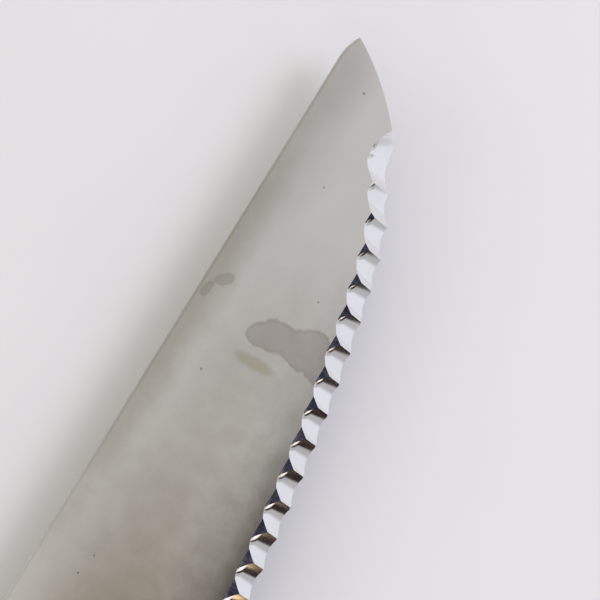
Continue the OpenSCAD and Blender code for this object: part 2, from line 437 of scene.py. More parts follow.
@dataclass
class Graph:
    """A node tree that is filled in step by step."""

    tree: bpy.types.NodeTree

    def add(
        self, kind: str, inputs: dict[str | int, object] | None = None, **settings: object
    ) -> bpy.types.Node:
        """Adds a node.

        Args:
            kind: Name of the node type.
            inputs: Values or sockets for its inputs, by name or number.
            settings: Other properties of the node.

        Returns:
            The new node.
        """
        node = self.tree.nodes.new(kind)
        for key, value in settings.items():
            setattr(node, key, value)
        for key, value in (inputs or {}).items():
            socket = node.inputs[key]
            if isinstance(value, Socket):
                self.tree.links.new(value, socket)
            else:
                socket.default_value = value
        return node

    def math(self, operation: str, *values: float | Socket) -> Socket:
        """Adds a Math node and gives its result."""
        return self.add("ShaderNodeMath", dict(enumerate(values)), operation=operation).outputs[0]

    def ramp(
        self, value: Socket, low: float, high: float, to_low: float = 0.0, to_high: float = 1.0
    ) -> Socket:
        """Maps a value smoothly from one range to another.

        Args:
            value: Value to map.
            low: Where the first range starts.
            high: Where the first range ends; it may be the lower one.
            to_low: What the start becomes.
            to_high: What the end becomes.

        Returns:
            The mapped value.
        """
        ranges = {"From Min": low, "From Max": high, "To Min": to_low, "To Max": to_high}
        node = self.add("ShaderNodeMapRange", {"Value": value, **ranges}, interpolation_type="SMOOTHSTEP")
        return node.outputs["Result"]

    def noise(
        self, where: Socket, scale: float = 1.0, detail: float = 3.0, roughness: float = 0.5
    ) -> Socket:
        """Adds a noise texture and gives its factor."""
        inputs = {"Vector": where, "Scale": scale, "Detail": detail, "Roughness": roughness}
        return self.add("ShaderNodeTexNoise", inputs).outputs["Fac"]

    def stretch(self, where: Socket, scale: Point3) -> Socket:
        """Scales coordinates and gives them."""
        return self.add("ShaderNodeMapping", {"Vector": where, "Scale": scale}).outputs["Vector"]

    def blend(self, factor: Socket, first: object, second: object, mode: str = "MIX") -> Socket:
        """Mixes two colours and gives the result."""
        node = self.add("ShaderNodeMix", {0: factor, 6: first, 7: second}, data_type="RGBA", blend_type=mode)
        return node.outputs[2]


def paint(colour: Point3, share: float = 1.0) -> tuple[float, ...]:
    """Gives a colour as a socket takes it, dimmed to a share."""
    return (*(c * share for c in colour), 1.0)


class Surface:
    """A new material, its Principled shader and the graph that feeds it."""

    def __init__(self, name: str) -> None:
        """Makes the material.

        Args:
            name: Name of the material.
        """
        self.material = bpy.data.materials.new(name)
        self.material.use_nodes = True
        self.graph = Graph(self.material.node_tree)
        self.shader = self.material.node_tree.nodes["Principled BSDF"]
        self.where = self.graph.add("ShaderNodeTexCoord").outputs["Object"]

    def level(self, socket: str, value: float) -> None:
        """Sets a number that is the same all over the surface."""
        self.shader.inputs[socket].default_value = value

    def feed(self, socket: str, value: Socket) -> None:
        """Links a value that changes over the surface."""
        self.graph.tree.links.new(value, self.shader.inputs[socket])

    def emboss(self, height: Socket, strength: float, distance: float) -> None:
        """Links bump made from a height."""
        inputs = {"Strength": strength, "Distance": distance, "Height": height}
        self.feed("Normal", self.graph.add("ShaderNodeBump", inputs).outputs["Normal"])


# Finishes


@dataclass(frozen=True)
class Blot:
    """An ellipse on the blade, in millimetres and degrees."""

    x: float
    y: float
    length: float
    width: float
    turn: float = 0.0


@dataclass(frozen=True)
class TintPatch:
    """A dried stain on the blade, made of blots that run together; the patches of painted shade are made the
    same way.
    """

    blots: tuple[Blot, ...]
    tint: Point3
    soft: float = 0.06
    waver: float = 0.22
    rim: float = 0.25


@dataclass(frozen=True)
class PaintedShade(TintPatch):
    """A wide and soft patch of painted shade, with no rim."""

    soft: float = 0.9
    waver: float = 0.05
    rim: float = 0.0


@dataclass(frozen=True)
class SatinSteel:
    """Matt, fine-blasted stainless face with a few dried stains and soft patches of painted shade.

    A span is the part of a noise over which a change takes place.
    """

    name: str = "satin_steel"
    colour: Point3 = (0.65, 0.635, 0.625)
    cloud_scale: float = 90.0
    cloud_span: Span = (0.3, 0.7)
    cloud_share: float = 0.955
    rough_span: Span = (0.25, 0.75)
    roughness: Span = (0.34, 0.385)
    grain_scale: float = 9000.0
    grain_share: float = 0.7
    brushing: Point3 = (400.0, 9000.0, 400.0)
    bump: float = 0.12
    bump_depth: float = 0.00002
    stains_and_shade: tuple[TintPatch, ...] = ()
    waver_scale: float = 520.0
    waver_span: Span = (0.2, 0.8)
    blot_depth: float = 1000.0
    blot_merge: float = 0.7
    rim_span: Span = (0.7, 0.97)

    def build(self) -> bpy.types.Material:
        """Makes the material.

        Returns:
            The finished material.
        """
        face = Surface(self.name)
        graph, where = face.graph, face.where
        clouds = graph.noise(where, self.cloud_scale, detail=4.0, roughness=0.55)
        tint = graph.blend(
            graph.ramp(clouds, *self.cloud_span),
            paint(self.colour),
            paint(self.colour, self.cloud_share),
        )
        waver = graph.noise(where, self.waver_scale, detail=5.0, roughness=0.6)
        waver = graph.ramp(waver, *self.waver_span, to_low=-1.0)
        # Dried stains, and patches of painted shade that darken the reflection, multiply the colour
        for tint_patch in self.stains_and_shade:
            tint = graph.blend(self._mask(graph, where, waver, tint_patch), tint, paint(tint_patch.tint), "MULTIPLY")
        grain = graph.noise(where, self.grain_scale, detail=2.0, roughness=0.6)
        brushed = graph.noise(graph.stretch(where, self.brushing), roughness=0.6)
        grain = graph.math("MULTIPLY", grain, self.grain_share)
        brushed = graph.math("MULTIPLY", brushed, 1 - self.grain_share)
        face.level("Metallic", 1.0)
        face.feed("Base Color", tint)
        face.feed("Roughness", graph.ramp(clouds, *self.rough_span, *self.roughness))
        face.emboss(graph.math("ADD", grain, brushed), self.bump, self.bump_depth)
        return face.material

    def _mask(self, graph: Graph, where: Socket, waver: Socket, tint_patch: TintPatch) -> Socket:
        """Makes the mask of one of the stains and patches of painted shade, a little stronger along its rim.

        Args:
            graph: Graph that the nodes go into.
            where: Object coordinates.
            waver: Noise that moves the rim in and out, from -1 to 1.
            tint_patch: One of the dried stains and patches of painted shade, to draw.

        Returns:
            The mask's socket.
        """
        reach = None
        for blot in tint_patch.blots:
            placed = graph.add(
                "ShaderNodeMapping",
                {
                    "Vector": where,
                    "Location": (blot.x * MM, blot.y * MM, 0.0),
                    "Rotation": (0.0, 0.0, math.radians(blot.turn)),
                    "Scale": (blot.length * MM / 2, blot.width * MM / 2, self.blot_depth),
                },
                vector_type="TEXTURE",
            ).outputs["Vector"]
            length = graph.add("ShaderNodeVectorMath", {0: placed}, operation="LENGTH").outputs["Value"]
            reach = length if reach is None else graph.math("SMOOTH_MIN", reach, length, self.blot_merge)
        reach = graph.math("ADD", reach, graph.math("MULTIPLY", waver, tint_patch.waver))
        outer, inner = 1.0 + tint_patch.soft, 1.0 - tint_patch.soft
        rim = graph.math(
            "MULTIPLY",
            graph.ramp(reach, outer, inner),
            graph.ramp(reach, *self.rim_span, 0.0, tint_patch.rim),
        )
        return graph.math("ADD", graph.ramp(reach, outer, inner, 0.0, 1.0 - tint_patch.rim), rim)


# Dried stains and specks on the blade, then soft patches of painted shade that darken its reflection
STAINS_AND_SHADE = (
    # A large blot near the teeth
    TintPatch(
        (
            Blot(88.4, 4.6, 2.3, 2.0, -59.0),
            Blot(89.0, 3.2, 2.7, 3.0, -59.0),
            Blot(90.0, 0.35, 3.5, 2.8, -79.0),
            Blot(88.5, 0.6, 3.4, 2.0, -89.0),
            Blot(88.4, -1.2, 2.8, 2.2, -119.0),
        ),
        tint=(0.72, 0.69, 0.68),
        soft=0.1,
    ),
    # A pair of small marks near the spine
    TintPatch(
        (Blot(90.9, 9.6, 1.7, 0.95, -51.0), Blot(89.5, 10.4, 1.6, 0.8, -9.0)),
        tint=(0.78, 0.76, 0.73),
        soft=0.2,
    ),
    # An olive smear
    TintPatch((Blot(86.1, 3.6, 3.5, 1.1, -86.0),), tint=(0.86, 0.84, 0.75), soft=0.35, rim=0.0),
    # Specks
    TintPatch(
        (
            Blot(93.4, 1.7, 0.2, 0.2),
            Blot(83.4, 7.25, 0.24, 0.2),
            Blot(102.1, 6.4, 0.28, 0.16, 30.0),
            Blot(110.9, 7.7, 0.22, 0.3),
            Blot(65.5, 6.7, 0.18, 0.14),
            Blot(63.6, 7.1, 0.2, 0.16),
        ),
        tint=(0.55, 0.53, 0.5),
        soft=0.3,
        rim=0.0,
    ),
    # Painted shade: soft patches that darken the blade's reflection, darkest towards the handle
    PaintedShade((Blot(48.0, -6.8, 72.0, 7.8, 4.5),), tint=(0.25, 0.225, 0.21), waver=0.08),
    PaintedShade((Blot(62.0, -6.6, 34.0, 2.8, 11.0),), tint=(0.45, 0.43, 0.42)),
    PaintedShade((Blot(87.5, 3.6, 13.0, 8.0),), tint=(0.88, 0.87, 0.86)),
    PaintedShade((Blot(101.5, 9.6, 20.0, 5.0),), tint=(0.87, 0.865, 0.86)),
    PaintedShade((Blot(48.0, 2.0, 56.0, 11.0, 3.0),), tint=(0.50, 0.46, 0.40), waver=0.1),
    PaintedShade((Blot(88.0, 11.0, 32.0, 3.6),), tint=(0.70, 0.68, 0.63), soft=0.8, waver=0.1),
    PaintedShade((Blot(112.0, 10.0, 9.0, 4.0),), tint=(0.84, 0.83, 0.82), waver=0.1),
)


@dataclass(frozen=True)
class PolishedSteel:
    """Bright ground or buffed steel with fine lines and faint smears."""

    name: str
    colour: Point3 = (0.86, 0.86, 0.87)
    roughness: float = 0.1
    lines: Point3 = (3000.0, 200.0, 200.0)
    line_span: Span = (0.35, 0.8)
    line_rough: float = 0.5
    line_depth: float = 0.000004
    bump: float = 0.25
    smear_scale: float = 260.0
    smear_span: Span = (0.3, 0.75)
    smear_share: float = 0.93
    rough_span: Span = (0.25, 0.75)
    rough_shares: Span = (0.7, 1.2)

    def build(self) -> bpy.types.Material:
        """Makes the material.

        Returns:
            The finished material.
        """
        face = Surface(self.name)
        graph, where = face.graph, face.where
        lines = graph.noise(graph.stretch(where, self.lines), roughness=0.6)
        smears = graph.noise(where, self.smear_scale, roughness=0.55)
        tint = graph.blend(
            graph.ramp(smears, *self.smear_span),
            paint(self.colour),
            paint(self.colour, self.smear_share),
        )
        bright, dull = (self.roughness * share for share in self.rough_shares)
        rough = graph.math(
            "ADD",
            graph.ramp(smears, *self.rough_span, bright, dull),
            graph.ramp(lines, *self.line_span, to_high=self.roughness * self.line_rough),
        )
        face.level("Metallic", 1.0)
        face.feed("Base Color", tint)
        face.feed("Roughness", rough)
        face.emboss(lines, self.bump, self.line_depth)
        return face.material


@dataclass(frozen=True)
class OiledWood:
    """Dark oiled hardwood with straight grain and open pores."""

    name: str
    shift: Point3 = (0.0, 0.0, 0.0)
    tilt: Point3 = (0.03, 0.05, 0.02)
    pale: Point3 = (0.19, 0.088, 0.042)
    dark: Point3 = (0.052, 0.022, 0.011)
    pore: Point3 = (0.018, 0.008, 0.005)
    ring_stretch: Point3 = (14.0, 260.0, 190.0)
    ring_span: Span = (0.2, 0.9)
    ring_share: float = 0.6
    bend_stretch: Point3 = (18.0, 120.0, 120.0)
    bend_share: float = 0.5
    fibre_stretch: Point3 = (70.0, 4200.0, 4200.0)
    fibre_span: Span = (0.35, 0.75)
    fibre_dark: float = 0.45
    fibre_height: float = 0.4
    pore_stretch: Point3 = (160.0, 5200.0, 5200.0)
    pore_span: Span = (0.62, 0.7)
    pore_dark: float = 0.75
    pore_rough: float = 0.2
    rough_span: Span = (0.2, 0.8)
    roughness: Span = (0.34, 0.48)
    bump: float = 0.35
    bump_depth: float = 0.00003
    coat: float = 0.12
    coat_roughness: float = 0.25

    def build(self) -> bpy.types.Material:
        """Makes the material.

        Returns:
            The finished material.
        """
        face = Surface(self.name)
        graph = face.graph
        placing = {"Vector": face.where, "Rotation": self.tilt, "Location": self.shift}
        where = graph.add("ShaderNodeMapping", placing).outputs["Vector"]
        wave = graph.add(
            "ShaderNodeTexWave",
            {
                "Vector": graph.stretch(where, self.ring_stretch),
                "Scale": 0.62,
                "Distortion": 5.5,
                "Detail": 3.0,
                "Detail Scale": 0.7,
                "Detail Roughness": 0.6,
            },
            wave_type="BANDS",
            bands_direction="DIAGONAL",
        )
        bend = graph.noise(graph.stretch(where, self.bend_stretch))
        fibres = graph.noise(graph.stretch(where, self.fibre_stretch), detail=4.0, roughness=0.65)
        pores = graph.noise(graph.stretch(where, self.pore_stretch), detail=2.0)
        pits = graph.ramp(pores, *self.pore_span)
        rings = graph.math("MULTIPLY", wave.outputs["Fac"], self.ring_share)
        rings = graph.math("ADD", rings, graph.math("MULTIPLY", bend, self.bend_share))
        tint = graph.blend(graph.ramp(rings, *self.ring_span), paint(self.dark), paint(self.pale))
        streaks = graph.ramp(fibres, *self.fibre_span, to_high=self.fibre_dark)
        tint = graph.blend(streaks, tint, paint(self.dark))
        tint = graph.blend(graph.math("MULTIPLY", pits, self.pore_dark), tint, paint(self.pore))
        rough = graph.ramp(fibres, *self.rough_span, *self.roughness)
        rough = graph.math("ADD", rough, graph.math("MULTIPLY", pits, self.pore_rough))
        height = graph.math("SUBTRACT", graph.math("MULTIPLY", fibres, self.fibre_height), pits)
        face.feed("Base Color", tint)
        face.feed("Roughness", rough)
        face.emboss(height, self.bump, self.bump_depth)
        face.level("Coat Weight", self.coat)
        face.level("Coat Roughness", self.coat_roughness)
        return face.material


# Copies


class CopyRow:
    """Geometry Nodes tree that sets a copy of a model at every given point."""

    def __init__(self, name: str) -> None:
        """Builds the tree.

        Args:
            name: Name of the tree.
        """
        self.tree = bpy.data.node_groups.new(name, "GeometryNodeTree")
        side = self.tree.interface
        self.sockets: dict[str, str] = {}
        side.new_socket("Geometry", in_out="INPUT", socket_type="NodeSocketGeometry")
        for label, kind in (("Model", "NodeSocketObject"), ("Finish", "NodeSocketMaterial")):
            self.sockets[label] = side.new_socket(label, in_out="INPUT", socket_type=kind).identifier
        side.new_socket("Geometry", in_out="OUTPUT", socket_type="NodeSocketGeometry")
        graph = Graph(self.tree)
        given = graph.add("NodeGroupInput").outputs
        spots = graph.add("GeometryNodeMeshToPoints", {"Mesh": given["Geometry"]})
        model = graph.add("GeometryNodeObjectInfo", {"Object": given["Model"]})
        turn = graph.add("GeometryNodeInputNamedAttribute", {"Name": "turn"}, data_type="FLOAT_VECTOR")
        laid = graph.add(
            "GeometryNodeInstanceOnPoints",
            {
                "Points": spots.outputs[0],
                "Instance": model.outputs["Geometry"],
                "Rotation": turn.outputs["Attribute"],
            },
        )
        real = graph.add("GeometryNodeRealizeInstances", {"Geometry": laid.outputs[0]}).outputs[0]
        dressed = graph.add("GeometryNodeSetMaterial", {"Geometry": real, "Material": given["Finish"]})
        graph.add("NodeGroupOutput", {0: dressed.outputs[0]})

    def lay(
        self,
        name: str,
        model: bpy.types.Object,
        finish: bpy.types.Material,
        spots: list[Point3],
        turns: list[float] | None = None,
    ) -> bpy.types.Object:
        """Sets the copies as one piece with a plain mesh, and removes the model.

        Args:
            name: Name of the piece.
            model: Object to copy.
            finish: Material of the copies.
            spots: Places of the copies, in metres.
            turns: Turn of each copy about Z, where they don't all stand as the model does.

        Returns:
            The piece.
        """
        mesh = bpy.data.meshes.new(name)
        mesh.from_pydata(spots, [], [])
        if turns:
            held = mesh.attributes.new("turn", "FLOAT_VECTOR", "POINT")
            for item, turn in zip(held.data, turns):
                item.vector = (0.0, 0.0, turn)
        piece = new_object(name, mesh)
        step = piece.modifiers.new("copies", "NODES")
        step.node_group = self.tree
        step[self.sockets["Model"]] = model
        step[self.sockets["Finish"]] = finish
        bake_modifiers(piece)
        bpy.data.objects.remove(model)
        return piece


# Blade


@dataclass(frozen=True)
class Cone:
    """A round cone over the blade, its level axis along Y before its turn, that opens outwards."""

    apex: Vector
    turn: float

    def spot(self, inward: float) -> Vector:
        """Place on the axis, at a distance from the apex."""
        return self.apex + Vector((-math.sin(self.turn), math.cos(self.turn), 0.0)) * inward


@dataclass(frozen=True)
class Flutes:
    """Sizes of the scallops that are ground into the blade's upper face, each one part of a cone.

    A cone turns with the edge, by the share that follow gives, less the skew. Its side eases off
    over ease_len from the radius ease_r on, where a flute runs out. The first teeth lie above the
    edge line, by lead_lifts. The lands behind the teeth start at the flute numbered land_from.
    """

    pitch: float = 2.82
    rise: float = 3.3
    flare: float = math.tan(math.radians(35.5))
    follow: float = 0.65
    skew: float = math.radians(6.5)
    land_tilt: float = math.radians(20.0)
    land_over: float = 0.02
    land_from: int = 2
    count: int = 36
    start: float = 8.65
    tip_t: float = 0.08
    lead_lifts: tuple[float, ...] = (0.65, 0.55, 0.28, 0.1)
    ease_r: float = 2.5
    ease_len: float = 0.52
    ease_share: float = 0.35
    ease_steps: int = 8
    mouth_share: float = 1.6
    tail_share: float = 0.3
    crown_share: float = 0.25
    arc_half: float = math.radians(52.0)
    arc_steps: int = 44
    rounds: int = 30

    @property
    def depth(self) -> float:
        """Distance from a cone's apex to the teeth, along its axis."""
        return self.rise / self.flare

    def teeth(self, edge: EdgeLine, blade_t: float) -> list[Vector]:
        """Gives the tooth tips.

        Args:
            edge: Line that the tips lie on.
            blade_t: Thickness of the blade.

        Returns:
            Their places above the blade's lower face; the first is where the run of flutes starts.
        """
        spots: list[Vector] = []
        for i in range(self.count + 1):
            x, y = edge.point(edge.end_u - self.start - i * self.pitch)
            lift = self.lead_lifts[i - 1] if 0 < i <= len(self.lead_lifts) else 0.0
            spots.append(Vector((x, y + lift, self.tip_t + (blade_t if i == 0 else 0.0))))
        return spots

    def cones(self, edge: EdgeLine, blade_t: float) -> list[Cone]:
        """Gives the flutes' cones, each of which runs through two neighbouring teeth.

        Args:
            edge: Line that the teeth lie on.
            blade_t: Thickness of the blade.

        Returns:
            The cones, from the tip on, with their places above the blade's lower face.
        """
        spots = self.teeth(edge, blade_t)
        level = self.tip_t + self.rise
        steep = self.flare**2
        cones: list[Cone] = []
        for i, (near, far) in enumerate(zip(spots, spots[1:])):
            turn = self.follow * edge.slope(edge.end_u - self.start - (i + 0.5) * self.pitch) - self.skew
            back = Matrix.Rotation(-turn, 3, "Z")
            a, b = back @ near, back @ far
            drop = (a.z - level) ** 2 - (b.z - level) ** 2
            x, y = (a.x + b.x) / 2, (a.y + b.y) / 2 + self.depth
            # Each round brings the apex nearer to the place from which both teeth lie on the cone
            for _ in range(self.rounds):
                gap = steep * (a.y**2 - b.y**2 - 2 * y * (a.y - b.y))
                x = (a.x**2 - b.x**2 + drop - gap) / (2 * (a.x - b.x))
                y = a.y + math.hypot(a.x - x, a.z - level) / self.flare
            cones.append(Cone(Matrix.Rotation(turn, 3, "Z") @ Vector((x, y, level)), turn))
        return cones

    def profile(self) -> list[Point2]:
        """Gives the shape of a cone's side, whose slope eases off where a flute runs out.

        Returns:
            Distances from the apex and radii, from the mouth inwards.
        """
        points = [(self.mouth_share * self.depth, self.mouth_share * self.rise)]
        y, r = self.ease_r / self.flare, self.ease_r
        step = self.ease_len / self.ease_steps
        for i in range(self.ease_steps):
            points.append((y, r))
            slope = self.flare * (1 - self.ease_share * (i + 0.5) / self.ease_steps)
            y, r = y - step, r - slope * step
        last = self.flare * (1 - self.ease_share)
        return points + [(y, r), (self.tail_share * y, r - (1 - self.tail_share) * y * last)]

    def end(self, cone: Cone, blade_t: float) -> Vector:
        """Gives the place on the flat face where a flute reaches farthest in.

        Args:
            cone: The flute's cone.
            blade_t: Thickness of the blade.

        Returns:
            The place.
        """
        spots = self.profile()
        level = cone.apex.z - blade_t
        for (y1, r1), (y0, r0) in zip(spots, spots[1:]):
            if r0 <= level <= r1:
                return cone.spot(-(y0 + (y1 - y0) * (level - r0) / (r1 - r0)))
        raise ValueError("a flute doesn't reach the flat face")


@dataclass
class Blade:
    """Blade and full tang, one piece of sheet with ground flutes."""

    edge: EdgeLine
    handle: HandleLine
    low_z: float
    top_z: float
    satin: bpy.types.Material
    flute_finish: bpy.types.Material
    land_finish: bpy.types.Material
    pin_hole_r: float = 1.3
    rivet_hole_r: float = 2.3
    hole_sides: int = 48
    spine_round: float = 0.4
    spine_drop: float = 0.54
    spine_drop_len: float = 2.3
    tip_round: float = 0.15
    edge_steps: int = 300
    drop_steps: int = 20
    tip_steps: int = 10
    spine_steps: int = 24
    round_steps: int = 6
    crisp_angle: float = 8.0
    flutes: Flutes = field(default_factory=Flutes)

    @property
    def thick(self) -> float:
        """Thickness of the sheet."""
        return self.top_z - self.low_z

    def outline(self) -> tuple[list[Point2], list[float]]:
        """Gives the sheet's outline.

        Returns:
            Its points, and the share of the spine's rounding that each point takes.
        """
        handle = self.handle.points()
        edge = self.edge.line(self.edge.heel_u(self.handle.heel_x), self.edge.end_u, self.edge_steps)
        radius = (self.spine_drop_len**2 + self.spine_drop**2) / (2 * self.spine_drop)
        turn = math.asin(self.spine_drop_len / radius)
        tip_x = self.edge.low_x + self.edge.reach
        start_x = tip_x - self.tip_round - self.spine_drop_len
        drop = [
            (start_x + radius * math.sin(a), self.edge.spine_y - radius * (1 - math.cos(a)))
            for a in (turn * (1 - i / self.drop_steps) for i in range(self.drop_steps + 1))
        ]
        back = [
            (start_x + (self.handle.heel_x - start_x) * i / self.spine_steps, self.edge.spine_y)
            for i in range(1, self.spine_steps)
        ]
        end, start = Vector(edge[-1]), Vector(drop[0])
        corner = Vector((tip_x, start.y - self.tip_round / 2))
        tip = []
        for i in range(1, self.tip_steps):
            t = i / self.tip_steps
            tip.append(tuple(end * (1 - t) ** 2 + corner * 2 * t * (1 - t) + start * t * t))
        eased = [0.0] * (len(handle) + len(edge))
        eased += [i / self.tip_steps for i in range(1, self.tip_steps)]
        eased += [1.0] * (len(drop) + len(back) - 1) + [0.0]
        return handle + edge + tip + drop + back, eased

    def blank(self) -> bpy.types.Object:
        """Makes the plain sheet, with the spine's corners rounded.

        Returns:
            The blade before it is ground.
        """
        points, eased = self.outline()
        levels: list[Point2] = []
        for i in range(self.round_steps + 1):
            angle = math.pi / 2 * i / self.round_steps
            inset = self.spine_round * (1 - math.sin(angle))
            levels.append((inset, self.spine_round * (1 - math.cos(angle))))
        levels += [(inset, self.thick - rise) for inset, rise in reversed(levels)]
        rings = []
        for inset, rise in levels:
            ring = []
            for i, (x, y) in enumerate(points):
                run = heading(points[i - 1], points[(i + 1) % len(points)])
                ring.append((x - run.y * inset * eased[i], y + run.x * inset * eased[i], self.low_z + rise))
            rings.append(ring)
        piece = new_object("blade_steel", stack_of_rings("blade_steel", rings))
        piece.data.materials.append(self.satin)
        return piece

    def flute_wheel(self) -> bpy.types.Object:
        """Makes one flute cutter with its apex at the origin, round below and flat-sided above.

        Returns:
            The cutter.
        """
        cut = self.flutes
        crown = cut.rise * cut.crown_share
        angles = [cut.arc_half * (2 * i / cut.arc_steps - 1) for i in range(cut.arc_steps + 1)]
        rings = []
        for y, r in reversed(cut.profile()):
            below = [(r * math.sin(a), -y, -r * math.cos(a)) for a in angles]
            rings.append(below + [(below[-1][0], -y, crown), (below[0][0], -y, crown)])
        return new_object("flute_wheel", stack_of_rings("flute_wheel", rings))

    def flute_cutter(self) -> bpy.types.Object:
        """Makes all flute cutters as one object, a copy of one cone for every flute.

        Returns:
            The row of cutters.
        """
        cones = self.flutes.cones(self.edge, self.thick)
        lift = Vector((0.0, 0.0, self.low_z))
        spots = [tuple((cone.apex + lift) * MM) for cone in cones]
        turns = [cone.turn for cone in cones]
        return CopyRow("flute_row").lay("flute_row", self.flute_wheel(), self.flute_finish, spots, turns)

    def land_cutter(self) -> bpy.types.Object:
        """Makes the cutter of the small lands behind the teeth, a flight of steps drawn down a slope.

        Returns:
            The cutter.
        """
        cut = self.flutes
        down, level = math.sin(cut.land_tilt), math.cos(cut.land_tilt)
        cones = cut.cones(self.edge, self.thick)[cut.land_from :]
        ends = [cut.end(cone, self.thick) for cone in cones]
        steps: list[Point2] = []
        for ahead, behind in zip(ends, ends[1:]):
            border = min(ahead[1], behind[1]) + cut.land_over
            for x in (ahead[0], behind[0]):
                steps.append((x, self.thick * level - border * down))
        roof = max(height for _, height in steps) + self.edge.blade_w
        steps += [(ends[-1][0], roof), (ends[0][0], roof)]
        normal, run = Vector((0.0, -down, level)), Vector((0.0, level, down))
        reach = 3 * self.edge.blade_w
        rings = []
        for along in (-reach, reach):
            rings.append([tuple(Vector((x, 0.0, self.low_z)) + normal * h + run * along) for x, h in steps])
        cutter = new_object("land_cutter", stack_of_rings("land_cutter", rings))
        cutter.data.materials.append(self.land_finish)
        return cutter

    def build(self) -> None:
        """Makes the finished blade."""
        piece = self.blank()
        cut_away(piece, [self.land_cutter()], self.flute_cutter())
        holes = hole_cutters(self.handle.pin_spots(), self.pin_hole_r, self.hole_sides)
        holes += hole_cutters(self.handle.rivet_spots(), self.rivet_hole_r, self.hole_sides)
        cut_away(piece, holes)
        crisp(piece, self.crisp_angle)
        finish_piece(piece, Slot.BLADE, "blade")


# Handle


@dataclass
class HandleForm:
    """Rounded outer form that bolsters and scales are cut from."""

    line: HandleLine
    scale_t: float
    tang_low: float
    tang_top: float
    round_w: float = 3.1
    round_h: float = 3.6
    seam: float = 0.07
    round_steps: int = 14

    def face(self, side: Side) -> float:
        """Height of the tang's face on a side."""
        return self.tang_top if side is Side.UPPER else self.tang_low

    def build(self, name: str, side: Side) -> bpy.types.Object:
        """Makes one half of the form.

        Args:
            name: Name of the piece.
            side: Side of the tang that it lies on.

        Returns:
            The piece, from the tang's face outwards.
        """
        points = self.line.points()
        last = len(points) - 1
        levels = [(self.seam, 0.0), (0.0, self.seam)]
        for i in range(self.round_steps + 1):
            angle = math.pi / 2 * i / self.round_steps
            inset = self.round_w * (1 - math.cos(angle))
            levels.append((inset, self.scale_t - self.round_h * (1 - math.sin(angle))))
        rings = []
        for inset, rise in levels:
            ring = []
            for i, (x, y) in enumerate(points):
                run = heading(points[max(i - 1, 0)], points[min(i + 1, last)])
                spot_x = x if i in (0, last) else x - run.y * inset
                ring.append((spot_x, y + run.x * inset, self.face(side) + side.value * rise))
            rings.append(ring)
        return new_object(name, stack_of_rings(name, rings))


@dataclass
class BolsterPair:
    """The two bolster halves, hollow swept at the front."""

    form: HandleForm
    rear_x: float
    finish: bpy.types.Material
    pin_hole_r: float = 1.3
    hole_sides: int = 64
    nose_t: float = 1.4
    sweep_r: float = 7.0
    sweep_sides: int = 256
    crisp_angle: float = 22.0

    def build(self) -> None:
        """Makes both halves."""
        line = self.form.line
        reach = line.handle_len
        for side, node in ((Side.UPPER, "bolster_upper"), (Side.LOWER, "bolster_lower")):
            piece = self.form.build(f"{node}_steel", side)
            piece.data.materials.append(self.finish)
            trim = box_cutter((line.x(1.0) - reach, -reach, -reach), (self.rear_x, reach, reach))
            height = self.form.face(side) + side.value * (self.nose_t + self.sweep_r)
            start = (line.heel_x, -reach, height)
            sweep = bar_cutter(start, (0, 1, 0), self.sweep_r, 2 * reach, self.sweep_sides)
            holes = hole_cutters(line.pin_spots(), self.pin_hole_r, self.hole_sides)
            cut_away(piece, [trim, sweep, *holes])
            crisp(piece, self.crisp_angle)
            finish_piece(piece, Slot.BOLSTER, node)


@dataclass
class ScalePair:
    """The two wooden handle scales, with seats for the rivet heads."""

    form: HandleForm
    front_x: float
    finishes: tuple[bpy.types.Material, bpy.types.Material]
    hole_r: float = 2.3
    hole_sides: int = 64
    seat_r: float = 3.55
    seat_sides: int = 96
    head_t: float = 2.0
    crisp_angle: float = 22.0

    def build(self) -> None:
        """Makes both scales."""
        reach = self.form.line.handle_len
        spots = self.form.line.rivet_spots()
        sides = ((Side.UPPER, "scale_upper"), (Side.LOWER, "scale_lower"))
        for (side, node), finish in zip(sides, self.finishes):
            piece = self.form.build(f"{node}_wood", side)
            piece.data.materials.append(finish)
            cutters = [box_cutter((self.front_x, -reach, -reach), (2 * reach, reach, reach))]
            cutters += hole_cutters(spots, self.hole_r, self.hole_sides)
            floor = self.form.face(side) + side.value * (self.form.scale_t - self.head_t)
            outward = (0, 0, side.value)
            for x, y in spots:
                seat = bar_cutter((x, y, floor), outward, self.seat_r, 2 * self.head_t, self.seat_sides)
                cutters.append(seat)
            cut_away(piece, cutters)
            crisp(piece, self.crisp_angle)
            finish_piece(piece, Slot.WOOD, node)


@dataclass(frozen=True)
class Pin:
    """A plain pin with eased ends."""

    length: float
    radius: float = 1.25
    ease: float = 0.05

    def profile(self) -> list[Point2]:
        """Gives radii and heights, from the bottom middle to the top middle."""
        below = [(0.0, 0.0), (self.radius - self.ease, 0.0), (self.radius, self.ease)]
        return below + [(radius, self.length - height) for radius, height in reversed(below)]


@dataclass(frozen=True)
class Rivet:
    """A rivet in two halves, a tube below and a shank that is pressed into it."""

    length: float
    head_r: float = 3.5
    head_t: float = 2.0
    ease: float = 0.08
    tube_r: float = 2.25
    tube_top: float = 8.7
    bore_r: float = 1.5
    bore_floor: float = 1.2
    shank_r: float = 1.48
    shank_end: float = 2.7

    def head(self) -> list[Point2]:
        """Gives radii and heights of a head, from its middle to where the tube or the shank starts."""
        rim = [(self.head_r - self.ease, 0.0), (self.head_r, self.ease)]
        return [(0.0, 0.0), *rim, (self.head_r, self.head_t)]

    def female(self) -> list[Point2]:
        """Gives radii and heights of the half with the tube."""
        tube = [(self.tube_r, self.head_t), (self.tube_r, self.tube_top), (self.bore_r, self.tube_top)]
        return [*self.head(), *tube, (self.bore_r, self.bore_floor), (0.0, self.bore_floor)]

    def male(self) -> list[Point2]:
        """Gives radii and heights of the half with the shank."""
        head = [(radius, self.length - height) for radius, height in reversed(self.head())]
        return [(0.0, self.shank_end), (self.shank_r, self.shank_end), (self.shank_r, head[0][1]), *head]


